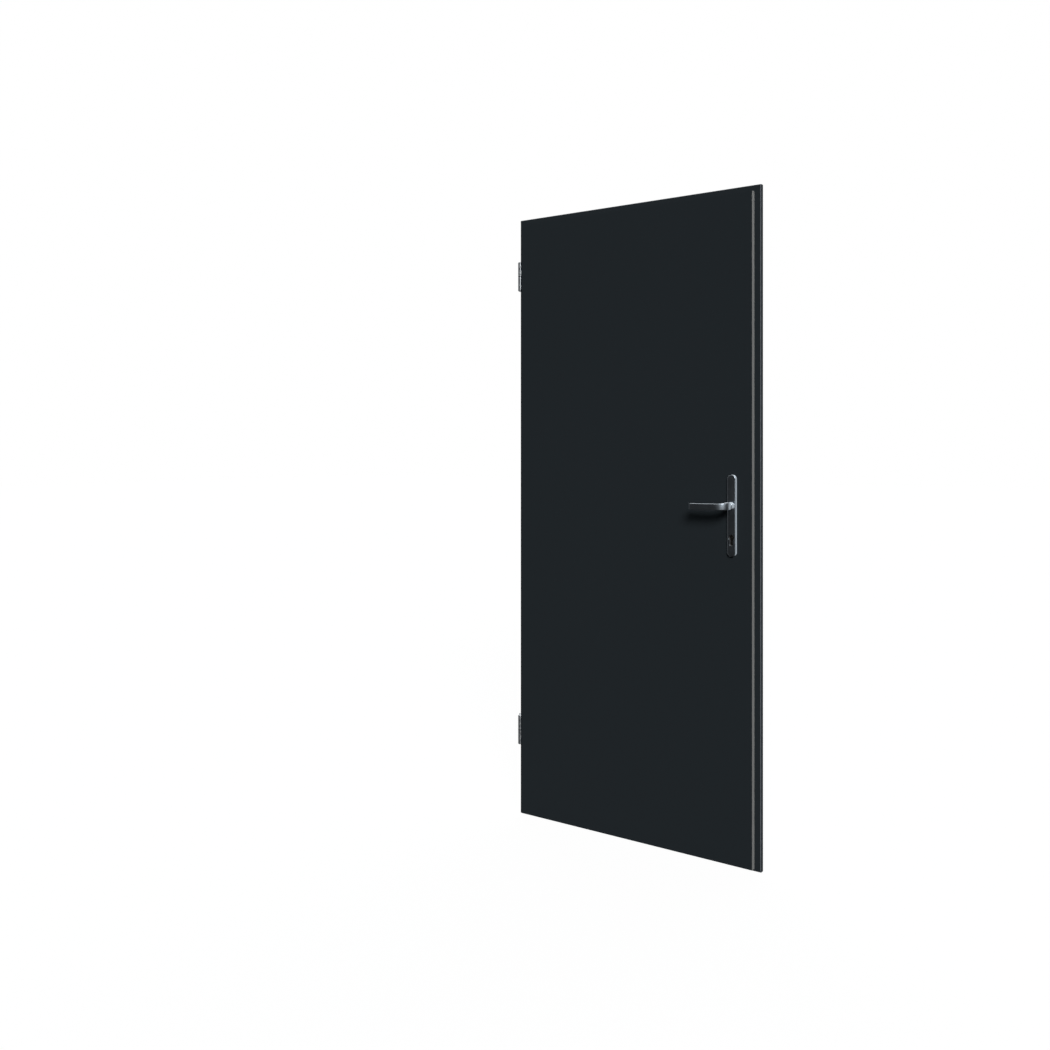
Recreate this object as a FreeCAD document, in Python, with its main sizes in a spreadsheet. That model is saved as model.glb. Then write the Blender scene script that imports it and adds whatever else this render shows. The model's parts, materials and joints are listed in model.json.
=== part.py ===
"""Steel utility door: a rebated sheet-steel leaf on two lift-off hinges, with lever furniture.

Frame: +Z up, +X from the hinges to the closing edge, -Y out of the push face that the photo shows.
The origin is on the back of the lower hinge's frame plate, at the centre of its screw holes, so the
plane x = 0 is the face that both frame plates are screwed to. The leaf stands 90 degrees open.
"""
import FreeCAD
import Part
import Sketcher
import math
import os

from FreeCAD import Placement, Rotation, Vector

doc = FreeCAD.newDocument("SteelUtilityDoor")

# Driving dimensions in millimetres and degrees: alias, value, what it is
SIZES = (
    ("leaf_width", 860, "leaf over both lips"),
    ("leaf_height", 1985, "leaf from the bottom lip to the top lip"),
    ("leaf_thickness", 35, "pull face to push face"),
    ("skin", 1, "steel sheet of both skins"),
    ("lip_side", 19.5, "lip beside the core, hinge and closing edge"),
    ("lip_top", 20, "lip above the core"),
    ("lip_bottom", 8, "lip below the core"),
    ("lip_depth", 16.5, "thickness of the lip"),
    ("lip_upstand", 1.5, "fold of the outer skin that stands past the lip along the core"),
    ("bend_radius", 2, "outside radius of the folds of the outer skin"),
    ("strip_depth", 3, "thickness of the edge strips"),
    ("bond_line", 0.1, "glue between the infill and what it fills"),
    ("lever_height", 1056, "lever axis above the leaf's bottom"),
    ("backset", 60, "closing edge of the core to the lever axis"),
    ("lock_centres", 92, "lever axis down to the cylinder axis"),
    ("plate_width", 26, "handle plate at its foot"),
    ("plate_above", 90, "plate above the lever axis"),
    ("plate_below", 148, "plate below the lever axis"),
    ("plate_thickness", 9.5, "handle plate"),
    ("plate_draft", 2, "slope of the plate's sides in degrees"),
    ("plate_edge", 2, "bevel of the plate's front edge"),
    ("collar_diameter", 21, "foot of the lever collar on the plate"),
    ("collar_height", 18, "lever collar above the plate"),
    ("collar_draft", 4, "slope of the conical collar in degrees"),
    ("shank_diameter", 14, "round shank of the lever"),
    ("shank_clearance", 0.3, "radial play of the shank in the collar"),
    ("shank_gap", 2, "shank end above the leaf's face"),
    ("neck_gap", 1, "reveal between collar and lever neck"),
    ("lever_reach", 112, "lever axis to the tip of the grip"),
    ("lever_stand", 52, "leaf's face to the middle of the grip"),
    ("lever_bend", 22, "bend radius of the lever at mid section"),
    ("neck_tall", 21, "lever section at the neck, upright"),
    ("neck_thick", 14, "lever section at the neck, across"),
    ("grip_taper", 0.4, "slope of the grip's sides in degrees"),
    ("lever_bevel", 3, "bevelled corners of the lever section"),
    ("tip_edge", 1.2, "bevel of the grip's end"),
    ("spindle_side", 8, "square spindle"),
    ("spindle_grip", 20, "spindle inside each lever"),
    ("spindle_hole", 20, "hole through the leaf for the spindle"),
    ("barrel_diameter", 17, "round part of the lock cylinder"),
    ("barrel_leg", 10, "width of the cylinder's leg"),
    ("barrel_height", 33, "lock cylinder over all"),
    ("barrel_recess", 8, "cylinder face below the plate's face"),
    ("barrel_clearance", 0.4, "gap round the lock cylinder"),
    ("plug_diameter", 13, "plug of the lock cylinder"),
    ("plug_length", 8, "plug of the lock cylinder"),
    ("keyway_width", 2.2, "key slot"),
    ("keyway_height", 8.5, "key slot"),
    ("keyway_depth", 6, "key slot"),
    ("hinge_low", 273, "middle of the lower hinge above the leaf's bottom"),
    ("hinge_high", 184, "middle of the upper hinge below the leaf's top"),
    ("hinge_height", 97, "hinge over its caps"),
    ("knuckle_radius", 9, "hinge knuckles"),
    ("hinge_cap", 3, "thickness of the caps that close a hinge"),
    ("hinge_washer", 2, "bearing washer between the knuckles"),
    ("pin_radius", 5, "hinge pin"),
    ("pin_clearance", 0.05, "radial play of the pin"),
    ("pin_end_gap", 2, "pin end below the top cap"),
    ("axis_from_frame", 24, "frame face to the hinge axis"),
    ("axis_to_lip", 14, "hinge axis to the lip's edge"),
    ("axis_behind", 4, "hinge axis behind the pull face"),
    ("frame_plate", 4, "sheet of the frame plate, its leg and the knuckle rolled from it"),
    ("frame_plate_out", 69.5, "hinge axis to the frame plate's outer edge"),
    ("frame_crank", 30, "slope of the leg from the frame plate to its knuckle in degrees"),
    ("leaf_plate", 3, "thickness of the leaf plate"),
    ("leaf_plate_width", 44, "leaf plate on the leaf's pull face"),
    ("plate_corner", 6, "rounded corners of the hinge plates"),
    ("knuckle_gap", 1.5, "hinge plate to the other plate's knuckle"),
    ("screw_hole_radius", 3.25, "screw holes in the frame plates"),
    ("screw_span", 22, "screw holes across a frame plate"),
    ("screw_pitch", 65, "screw holes along a frame plate"),
    ("frame_screws_out", 46.5, "hinge axis to the middle of the frame plate's screws"),
)

sheet = doc.addObject("Spreadsheet::Sheet", "Sizes")
for row, (alias, value, meaning) in enumerate(SIZES, start=1):
    sheet.set(f"A{row}", meaning)
    sheet.set(f"B{row}", str(value))
    sheet.setAlias(f"B{row}", alias)
doc.recompute()


def cell(alias):
    """Value of one driving dimension."""
    return float(sheet.get(alias))


def of(formula):
    """Expression text with every alias in it read from the sheet."""
    words = formula.replace("(", "( ").replace(")", " )").split()
    aliases = {alias for alias, _, _ in SIZES}
    return " ".join(f"Sizes.{word}" if word in aliases else word for word in words)


gauge = doc.addObject("App::FeaturePython", "Gauge")
gauge.addProperty("App::PropertyFloat", "Reading")


def value_of(formula):
    """Number that a formula of driving dimensions gives."""
    gauge.setExpression("Reading", of(formula))
    gauge.recompute()
    return gauge.Reading


# Places that several pieces share, as formulas of the driving dimensions
AXIS_X = "axis_from_frame"
AXIS_Y = "( 0 - frame_screws_out )"
LEAF_LEFT = "( axis_from_frame + axis_to_lip )"
LEAF_BOTTOM = "( 0 - hinge_low )"
PULL_FACE = "( 0 - frame_screws_out - axis_behind )"
PUSH_FACE = "( 0 - frame_screws_out - axis_behind - leaf_thickness )"
LIP_FRONT = "( 0 - frame_screws_out - axis_behind - lip_depth )"
CORE_LEFT = f"( {LEAF_LEFT} + lip_side )"
CORE_BOTTOM = f"( {LEAF_BOTTOM} + lip_bottom )"
CORE_WIDTH = "( leaf_width - 2 * lip_side )"
CORE_HEIGHT = "( leaf_height - lip_top - lip_bottom )"
LEVER_X = f"( {LEAF_LEFT} + leaf_width - lip_side - backset )"
LEVER_Z = f"( {LEAF_BOTTOM} + lever_height )"
BARREL_Z = f"( {LEVER_Z} - lock_centres )"
UPPER_HINGE = f"( {LEAF_BOTTOM} + leaf_height - hinge_high )"
STRIP_WIDTH = "( leaf_thickness - skin - lip_depth - lip_upstand )"
STRIP_FRONT = f"( {PUSH_FACE} + skin )"
KNUCKLE = "( ( hinge_height - 2 * hinge_cap - hinge_washer ) / 2 )"
CRANK = "( frame_crank * 1 deg )"
LEG_X = f"( axis_from_frame - knuckle_radius * cos{CRANK} )"
LEG_Y = f"( 0 - frame_screws_out - knuckle_radius * sin{CRANK} )"
FRAME_PLATE_Y = f"( {LEG_Y} + {LEG_X} / tan{CRANK} )"
SPINDLE_END = "( shank_gap + spindle_grip )"
BARREL_OVERHANG = "( plate_thickness - barrel_recess )"


def bind(item, **formulas):
    """Tie properties of an object to formulas; x, y and z tie its position."""
    for name, formula in formulas.items():
        path = f".Placement.Base.{name}" if name in "xyz" else name
        item.setExpression(path, of(formula))
    return item


def box(name, x, y, z, dx, dy, dz):
    """Block from its low corner and its three sides."""
    item = doc.addObject("Part::Box", name)
    return bind(item, x=x, y=y, z=z, Length=dx, Width=dy, Height=dz)


def cylinder(name, x, y, z, radius, height, direction=Vector(0, 0, 1)):
    """Round bar from the centre of its first end."""
    item = doc.addObject("Part::Cylinder", name)
    item.Placement = Placement(Vector(), Rotation(Vector(0, 0, 1), direction))
    return bind(item, x=x, y=y, z=z, Radius=radius, Height=height)


def cut(name, base, *tools):
    """First object less the others."""
    tool = tools[0] if len(tools) == 1 else fuse(f"{name}_tools", *tools)
    item = doc.addObject("Part::Cut", name)
    item.Base = base
    item.Tool = tool
    return item


def fuse(name, *shapes):
    """Objects joined into one solid, or kept as one tool."""
    item = doc.addObject("Part::MultiFuse", name)
    item.Shapes = list(shapes)
    item.Refine = True
    return item


def rounded(name, base, radius, wanted):
    """Edges of an object that pass the test, rounded by one radius."""
    doc.recompute()
    item = doc.addObject("Part::Fillet", name)
    item.Base = base
    numbers = [i for i, edge in enumerate(base.Shape.Edges, start=1) if wanted(edge)]
    item.Edges = [(i, radius, radius) for i in numbers]
    return item


def along(edge, direction):
    """True for a straight edge that runs along a direction."""
    first, last = edge.Vertexes[0].Point, edge.Vertexes[-1].Point
    run = last - first
    return run.Length > 1e-6 and abs(abs(run.dot(direction)) - run.Length) < 1e-6


finished = []


def finish(item, label):
    """Mark an object as a finished piece under its own name."""
    item.Label = label
    finished.append((label, item))
    return item


# Passages through the leaf for the spindle and the lock cylinder


def barrel_profile(name, y, length, play="0"):
    """Bar of the lock cylinder's keyhole profile, wider by some play all round."""
    round_part = cylinder(f"{name}_round", LEVER_X, y, BARREL_Z,
                          f"barrel_diameter / 2 + {play}", length, Vector(0, 1, 0))
    foot_z = f"{BARREL_Z} + barrel_diameter / 2 - barrel_height + barrel_leg / 2"
    leg = box(f"{name}_leg", f"{LEVER_X} - barrel_leg / 2 - {play}", y, foot_z,
              f"barrel_leg + 2 * {play}", length, "barrel_height - barrel_diameter / 2 - barrel_leg / 2")
    foot = cylinder(f"{name}_foot", LEVER_X, y, foot_z, f"barrel_leg / 2 + {play}", length, Vector(0, 1, 0))
    return fuse(name, round_part, leg, foot)


def passages(name):
    """Tool that opens a skin or the infill for the spindle and the lock cylinder."""
    spindle_way = cylinder(f"{name}_spindle_way", LEVER_X, PUSH_FACE, LEVER_Z,
                           "spindle_hole / 2", "leaf_thickness", Vector(0, 1, 0))
    barrel_way = barrel_profile(f"{name}_barrel_way", PUSH_FACE, "leaf_thickness", "barrel_clearance")
    return spindle_way, barrel_way


# Leaf: outer tray with its lips, inner sheet, edge strips and infill


def make_outer_skin():
    """Pull side: a tray folded into lips, then up along the core."""
    tray = box("tray", LEAF_LEFT, LIP_FRONT, LEAF_BOTTOM, "leaf_width", "lip_depth", "leaf_height")
    folded = rounded("tray_folds", tray, cell("bend_radius"),
                     lambda edge: not along(edge, Vector(0, 1, 0)))
    upstand = box("upstand", CORE_LEFT, f"{LIP_FRONT} - lip_upstand", CORE_BOTTOM,
                  CORE_WIDTH, "lip_upstand + skin", CORE_HEIGHT)
    hollow = box("tray_hollow", f"{LEAF_LEFT} + skin", f"{LIP_FRONT} + skin", f"{LEAF_BOTTOM} + skin",
                 "leaf_width - 2 * skin", "lip_depth - 2 * skin", "leaf_height - 2 * skin")
    mouth = box("tray_mouth", f"{CORE_LEFT} + skin", f"{LIP_FRONT} - lip_upstand", f"{CORE_BOTTOM} + skin",
                f"{CORE_WIDTH} - 2 * skin", "lip_upstand + 2 * skin", f"{CORE_HEIGHT} - 2 * skin")
    shell = fuse("tray_with_upstand", folded, upstand)
    return finish(cut("outer_skin_body", shell, hollow, mouth, *passages("outer_skin")), "outer_skin")


def make_inner_skin():
    """Push side: the flat sheet that carries the lever seen in the photo."""
    face = box("inner_sheet", CORE_LEFT, PUSH_FACE, CORE_BOTTOM, CORE_WIDTH, "skin", CORE_HEIGHT)
    return finish(cut("inner_skin_body", face, *passages("inner_skin")), "inner_skin")


def make_infill():
    """Insulating block that fills the tray and carries the inner sheet."""
    wall = "( skin + bond_line )"
    edge = "( strip_depth + bond_line )"
    in_lips = box("infill_lips", f"{LEAF_LEFT} + {wall}", f"{LIP_FRONT} + {wall}", f"{LEAF_BOTTOM} + {wall}",
                  f"leaf_width - 2 * {wall}", f"lip_depth - 2 * {wall}", f"leaf_height - 2 * {wall}")
    in_core = box("infill_core", f"{CORE_LEFT} + {edge}", f"{PUSH_FACE} + {wall}", f"{CORE_BOTTOM} + {edge}",
                  f"{CORE_WIDTH} - 2 * {edge}", f"leaf_thickness - 2 * {wall}", f"{CORE_HEIGHT} - 2 * {edge}")
    block = fuse("infill_block", in_lips, in_core)
    return finish(cut("infill_body", block, *passages("infill")), "infill")


def make_edge_strips():
    """Light strips between the two skins, all round the core."""
    far_x = f"{CORE_LEFT} + {CORE_WIDTH} - strip_depth"
    top_z = f"{CORE_BOTTOM} + {CORE_HEIGHT} - strip_depth"
    between_x = f"{CORE_LEFT} + strip_depth"
    between = f"{CORE_WIDTH} - 2 * strip_depth"
    uprights = (("hinge_edge_strip", CORE_LEFT), ("closing_edge_strip", far_x))
    rails = (("bottom_edge_strip", CORE_BOTTOM), ("top_edge_strip", top_z))
    for label, x in uprights:
        bar = box(f"{label}_bar", x, STRIP_FRONT, CORE_BOTTOM, "strip_depth", STRIP_WIDTH, CORE_HEIGHT)
        finish(bar, label)
    for label, z in rails:
        bar = box(f"{label}_bar", between_x, STRIP_FRONT, z, between, STRIP_WIDTH, "strip_depth")
        finish(bar, label)


# Hinges: a frame part below, a leaf part above, a pin, a washer and two caps


def screw_holes(name, middle):
    """Four screw holes through a frame plate."""
    return [
        cylinder(f"{name}_{i}", "0", f"{side} * screw_span / 2", f"{middle} + {level} * screw_pitch / 2",
                 "screw_hole_radius", "frame_plate", Vector(1, 0, 0))
        for i, (side, level) in enumerate(((-1, -1), (1, -1), (1, 1), (-1, 1)))
    ]


def make_frame_part(level, middle):
    """Fixed half: plate on the frame, cranked leg and the lower knuckle that it is rolled into."""
    name = f"{level}_frame_part"
    low_z = f"{middle} - hinge_height / 2 + hinge_cap"
    outer_y = f"{AXIS_Y} + frame_plate_out"
    plate = box(f"{name}_plate", "0", FRAME_PLATE_Y, low_z,
                "frame_plate", f"{outer_y} - {FRAME_PLATE_Y}", "hinge_height - 2 * hinge_cap")
    edge_y = value_of(outer_y)
    trimmed = rounded(f"{name}_trimmed", plate, cell("plate_corner"),
                      lambda edge: along(edge, Vector(1, 0, 0)) and edge.CenterOfMass.y > edge_y - 1e-6)
    leg = box(f"{name}_leg", LEG_X, LEG_Y, low_z,
              "frame_plate", f"{LEG_X} / sin{CRANK} + frame_plate", KNUCKLE)
    leg.setExpression(".Placement.Rotation.Angle", of(CRANK))
    frame_side = box(f"{name}_frame_side", "0 - axis_from_frame", AXIS_Y, low_z,
                     "axis_from_frame", "frame_plate_out", KNUCKLE)
    knuckle = cylinder(f"{name}_knuckle", AXIS_X, AXIS_Y, low_z, "knuckle_radius", KNUCKLE)
    bore = cylinder(f"{name}_bore", AXIS_X, AXIS_Y, low_z, "pin_radius + pin_clearance", KNUCKLE)
    holes = screw_holes(f"{name}_hole", middle)
    flap = cut(f"{name}_flap", fuse(f"{name}_blank", trimmed, leg, knuckle), frame_side, bore)
    return finish(cut(f"{name}_body", flap, *holes), name)


def make_leaf_part(level, middle):
    """Moving half: plate on the pull face and upper knuckle."""
    name = f"{level}_leaf_part"
    base_z = f"{middle} - hinge_height / 2"
    knuckle_z = f"{middle} + hinge_washer / 2"
    near_x = f"{AXIS_X} + knuckle_radius + knuckle_gap"
    far_x = f"{LEAF_LEFT} + leaf_plate_width"
    plate = box(f"{name}_plate", near_x, PULL_FACE, base_z,
                f"{far_x} - ( {near_x} )", "leaf_plate", "hinge_height")
    edge_x = value_of(far_x)
    trimmed = rounded(f"{name}_trimmed", plate, cell("plate_corner"),
                      lambda edge: along(edge, Vector(0, 1, 0)) and edge.CenterOfMass.x > edge_x - 1e-6)
    arm = box(f"{name}_arm", AXIS_X, PULL_FACE, knuckle_z,
              f"{near_x} - {AXIS_X} + knuckle_gap", "leaf_plate", KNUCKLE)
    knuckle = cylinder(f"{name}_knuckle", AXIS_X, AXIS_Y, knuckle_z, "knuckle_radius", KNUCKLE)
    bore = cylinder(f"{name}_bore", AXIS_X, AXIS_Y, knuckle_z, "pin_radius + pin_clearance", KNUCKLE)
    return finish(cut(f"{name}_body", fuse(f"{name}_blank", trimmed, arm, knuckle), bore), name)


def make_hinge_small_parts(level, middle):
    """Pin, bearing washer and the two caps of one hinge."""
    base_z = f"{middle} - hinge_height / 2"
    pin_z = f"{base_z} + hinge_cap"
    top_z = f"{middle} + hinge_height / 2 - hinge_cap"
    washer_z = f"{middle} - hinge_washer / 2"
    pin_length = "hinge_height - 2 * hinge_cap - pin_end_gap"
    pin = cylinder(f"{level}_pin_bar", AXIS_X, AXIS_Y, pin_z, "pin_radius", pin_length)
    finish(pin, f"{level}_hinge_pin")
    disc = cylinder(f"{level}_washer_disc", AXIS_X, AXIS_Y, washer_z, "knuckle_radius", "hinge_washer")
    hole = cylinder(f"{level}_washer_hole", AXIS_X, AXIS_Y, washer_z,
                    "pin_radius + pin_clearance", "hinge_washer")
    finish(cut(f"{level}_washer_body", disc, hole), f"{level}_hinge_washer")
    for end, z in (("bottom", base_z), ("top", top_z)):
        cap = cylinder(f"{level}_{end}_cap_disc", AXIS_X, AXIS_Y, z, "knuckle_radius", "hinge_cap")
        finish(cap, f"{level}_hinge_{end}_cap")


# Lever furniture: sketches drawn in the plane of the leaf, padded out of its face


def new_sketch(body, role, offset, name):
    """Sketch on one of a body's own origin planes, moved along that plane's normal."""
    plane = next(f for f in body.Origin.OriginFeatures if f.Role == role)
    sketch = body.newObject("Sketcher::SketchObject", name)
    sketch.AttachmentSupport = [(plane, "")]
    sketch.MapMode = "FlatFace"
    sketch.setExpression(".AttachmentOffset.Base.z", of(offset))
    return sketch


def dimension(sketch, kind, name, formula, *places):
    """Named sketch dimension tied to a formula."""
    index = sketch.addConstraint(Sketcher.Constraint(kind, *places, value_of(formula)))
    sketch.renameConstraint(index, name)
    sketch.setExpression(f"Constraints.{name}", of(formula))


ORIGIN = (-1, 1)


def draw_circle(sketch, radius, low="0"):
    """Circle below or on the sketch's origin."""
    sketch.addGeometry(Part.Circle(Vector(0, -value_of(low), 0), Vector(0, 0, 1), value_of(radius)), False)
    dimension(sketch, "Radius", "radius", radius, 0)
    sketch.addConstraint(Sketcher.Constraint("PointOnObject", 0, 3, -2))
    if low == "0":
        sketch.addConstraint(Sketcher.Constraint("PointOnObject", 0, 3, -1))
    else:
        dimension(sketch, "DistanceY", "low", low, 0, 3, *ORIGIN)


def draw_slot(sketch, width, above, below):
    """Upright slot with round ends, by its reach above and below the sketch's origin."""
    half, high, low = value_of(width) / 2, value_of(above), value_of(below)
    up, down = Vector(0, high - half, 0), Vector(0, half - low, 0)
    normal = Vector(0, 0, 1)
    sketch.addGeometry(Part.ArcOfCircle(Part.Circle(up, normal, half), 0, math.pi), False)
    sketch.addGeometry(Part.LineSegment(up - Vector(half, 0, 0), down - Vector(half, 0, 0)), False)
    sketch.addGeometry(Part.ArcOfCircle(Part.Circle(down, normal, half), math.pi, 2 * math.pi), False)
    sketch.addGeometry(Part.LineSegment(down + Vector(half, 0, 0), up + Vector(half, 0, 0)), False)
    for first, first_end, second, second_end in ((0, 2, 1, 1), (1, 2, 2, 1), (2, 2, 3, 1), (3, 2, 0, 1)):
        sketch.addConstraint(Sketcher.Constraint("Tangent", first, first_end, second, second_end))
    sketch.addConstraint(Sketcher.Constraint("PointOnObject", 0, 3, -2))
    sketch.addConstraint(Sketcher.Constraint("Vertical", 1))
    dimension(sketch, "Radius", "end_radius", f"{width} / 2", 0)
    dimension(sketch, "DistanceY", "above", f"{above} - {width} / 2", *ORIGIN, 0, 3)
    dimension(sketch, "DistanceY", "below", f"{below} - {width} / 2", 2, 3, *ORIGIN)


def draw_bevelled_bar(sketch, wide, tall, bevel, out="0"):
    """Rectangle with bevelled corners whose middle lies some way before the sketch's origin."""
    half_w, half_t, b = value_of(wide) / 2, value_of(tall) / 2, value_of(bevel)
    middle = Vector(-value_of(out), 0, 0)
    points = []
    for sx, sy in ((1, 1), (-1, 1), (-1, -1), (1, -1)):
        beside = middle + Vector(sx * half_w, sy * (half_t - b), 0)
        over = middle + Vector(sx * (half_w - b), sy * half_t, 0)
        points += [beside, over] if sx * sy > 0 else [over, beside]
    sides = len(points)
    for i, point in enumerate(points):
        sketch.addGeometry(Part.LineSegment(point, points[(i + 1) % sides]), False)
    for i in range(sides):
        sketch.addConstraint(Sketcher.Constraint("Coincident", i, 2, (i + 1) % sides, 1))
    for i, kind in ((1, "Horizontal"), (3, "Vertical"), (5, "Horizontal"), (7, "Vertical")):
        sketch.addConstraint(Sketcher.Constraint(kind, i))
    bevels = (("upper_right", 0, 2, 0, 1, 0, 1, 0, 2), ("upper_left", 2, 2, 2, 1, 2, 2, 2, 1),
              ("lower_left", 4, 1, 4, 2, 4, 2, 4, 1), ("lower_right", 6, 1, 6, 2, 6, 1, 6, 2))
    for corner, *ends in bevels:
        dimension(sketch, "DistanceX", f"{corner}_across", bevel, *ends[:4])
        dimension(sketch, "DistanceY", f"{corner}_up", bevel, *ends[4:])
    dimension(sketch, "DistanceX", "wide", wide, 3, 1, 0, 1)
    dimension(sketch, "DistanceY", "tall", tall, 5, 1, 0, 2)
    dimension(sketch, "DistanceX", "right", f"{out} - {wide} / 2", 0, 1, *ORIGIN)
    dimension(sketch, "DistanceY", "top", f"{tall} / 2", *ORIGIN, 0, 2)


def add_pad(body, sketch, length, name, draft="0", backwards=False):
    """Sketch padded along its normal, or against it, with sides that draw in."""
    pad = body.newObject("PartDesign::Pad", name)
    pad.Profile = sketch
    pad.Reversed = backwards
    bind(pad, Length=length, TaperAngle=f"0 - {draft}")
    return pad


def add_pocket(body, sketch, length, name):
    """Sketch cut outwards, on the side that pads grow to."""
    doc.recompute()
    before = body.Shape.Volume
    pocket = body.newObject("PartDesign::Pocket", name)
    pocket.Profile = sketch
    pocket.Reversed = True
    bind(pocket, Length=length)
    doc.recompute()
    if not body.Shape.Volume < before:
        raise RuntimeError(f"{name} cuts nothing")
    return pocket


def add_bevel(body, width, name, wanted):
    """Edges of the body so far that pass the test, bevelled."""
    doc.recompute()
    tip = body.Tip
    bevel = body.newObject("PartDesign::Chamfer", name)
    edges = [f"Edge{i}" for i, edge in enumerate(tip.Shape.Edges, start=1) if wanted(edge)]
    bevel.Base = (tip, edges)
    bind(bevel, Size=width)
    return bevel


def draw_square(sketch, side):
    """Square about the sketch's origin."""
    half = value_of(side) / 2
    corners = [Vector(half, half, 0), Vector(-half, half, 0), Vector(-half, -half, 0), Vector(half, -half, 0)]
    for i, corner in enumerate(corners):
        sketch.addGeometry(Part.LineSegment(corner, corners[(i + 1) % 4]), False)
    for i in range(4):
        sketch.addConstraint(Sketcher.Constraint("Coincident", i, 2, (i + 1) % 4, 1))
        sketch.addConstraint(Sketcher.Constraint("Vertical" if i % 2 else "Horizontal", i))
    sketch.addConstraint(Sketcher.Constraint("Equal", 0, 1))
    dimension(sketch, "DistanceX", "side", side, 0, 2, 0, 1)
    dimension(sketch, "DistanceX", "right", f"{side} / 2", *ORIGIN, 0, 1)
    dimension(sketch, "DistanceY", "top", f"{side} / 2", *ORIGIN, 0, 1)


def make_handle_plate(side, turn, face):
    """Narrow plate with a bevelled rim, a conical lever collar and the keyhole opening."""
    label = f"{side}_handle_plate"
    body = doc.addObject("PartDesign::Body", f"{label}_body")
    foot = new_sketch(body, "XZ_Plane", "0", f"{side}_plate_outline")
    draw_slot(foot, "plate_width", "plate_above", "plate_below")
    add_pad(body, foot, "plate_thickness", f"{side}_plate_pad", "plate_draft")
    front = cell("plate_thickness")
    add_bevel(body, "plate_edge", f"{side}_plate_rim",
              lambda edge: all(abs(v.Point.y + front) < 1e-6 for v in edge.Vertexes))
    ring = new_sketch(body, "XZ_Plane", "plate_thickness", f"{side}_collar_outline")
    draw_circle(ring, "collar_diameter / 2")
    add_pad(body, ring, "collar_height", f"{side}_collar_pad", "collar_draft")
    whole = "plate_thickness + collar_height"
    bore = new_sketch(body, "XZ_Plane", "0", f"{side}_collar_bore_outline")
    draw_circle(bore, "shank_diameter / 2 + shank_clearance")
    add_pocket(body, bore, whole, f"{side}_collar_bore")
    eye = new_sketch(body, "XZ_Plane", "0", f"{side}_keyhole_eye")
    draw_circle(eye, "barrel_diameter / 2 + barrel_clearance", "lock_centres")
    add_pocket(body, eye, whole, f"{side}_keyhole_round")
    leg = new_sketch(body, "XZ_Plane", "0", f"{side}_keyhole_leg")
    leg_foot = "( lock_centres + barrel_height - barrel_diameter / 2 + barrel_clearance )"
    draw_slot(leg, "( barrel_leg + 2 * barrel_clearance )", "( 0 - lock_centres )", leg_foot)
    add_pocket(body, leg, whole, f"{side}_keyhole_slot")
    body.Placement = Placement(Vector(), turn)
    return finish(bind(body, x=LEVER_X, y=face, z=LEVER_Z), label)


def make_lever(side, turn, face):
    """Bent lever: round shank, flat neck, quarter bend and a tapering grip."""
    label = f"{side}_lever"
    body = doc.addObject("PartDesign::Body", f"{label}_body")
    neck_start = "( plate_thickness + collar_height + neck_gap )"
    neck_end = "( lever_stand - lever_bend )"
    shank = new_sketch(body, "XZ_Plane", "shank_gap", f"{side}_shank_outline")
    draw_circle(shank, "shank_diameter / 2")
    add_pad(body, shank, f"{neck_start} - shank_gap", f"{side}_shank")
    neck = new_sketch(body, "XZ_Plane", neck_start, f"{side}_neck_outline")
    draw_bevelled_bar(neck, "neck_thick", "neck_tall", "lever_bevel")
    add_pad(body, neck, f"{neck_end} - {neck_start}", f"{side}_neck")
    turned = new_sketch(body, "XZ_Plane", neck_end, f"{side}_bend_outline")
    draw_bevelled_bar(turned, "neck_thick", "neck_tall", "lever_bevel")
    pivot = Vector(-cell("lever_bend"), 0, 0)
    line = turned.addGeometry(Part.LineSegment(pivot, pivot + Vector(0, cell("neck_tall"), 0)), True)
    turned.addConstraint(Sketcher.Constraint("Vertical", line))
    turned.addConstraint(Sketcher.Constraint("PointOnObject", line, 1, -1))
    dimension(turned, "DistanceX", "pivot_out", "lever_bend", line, 1, *ORIGIN)
    dimension(turned, "DistanceY", "pivot_length", "neck_tall", line, 1, line, 2)
    bend = body.newObject("PartDesign::Revolution", f"{side}_bend")
    bend.Profile = turned
    bend.ReferenceAxis = (turned, ["Axis0"])
    bend.Angle = 90
    bend.Reversed = True
    root = new_sketch(body, "YZ_Plane", "0 - lever_bend", f"{side}_grip_outline")
    draw_bevelled_bar(root, "neck_thick", "neck_tall", "lever_bevel", "lever_stand")
    add_pad(body, root, "lever_reach - lever_bend", f"{side}_grip", "grip_taper", backwards=True)
    tip_x = -cell("lever_reach")
    add_bevel(body, "tip_edge", f"{side}_tip_rim",
              lambda edge: all(abs(v.Point.x - tip_x) < 1e-6 for v in edge.Vertexes))
    socket = new_sketch(body, "XZ_Plane", "shank_gap", f"{side}_socket_outline")
    draw_square(socket, "spindle_side")
    add_pocket(body, socket, "spindle_grip", f"{side}_socket")
    body.Placement = Placement(Vector(), turn)
    return finish(bind(body, x=LEVER_X, y=face, z=LEVER_Z), label)


def make_spindle():
    """Square bar that joins the two levers."""
    half = "spindle_side / 2"
    bar = box("spindle_bar", f"{LEVER_X} - {half}", f"{PUSH_FACE} - {SPINDLE_END}", f"{LEVER_Z} - {half}",
              "spindle_side", f"leaf_thickness + 2 * {SPINDLE_END}", "spindle_side")
    return finish(bar, "spindle")


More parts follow.
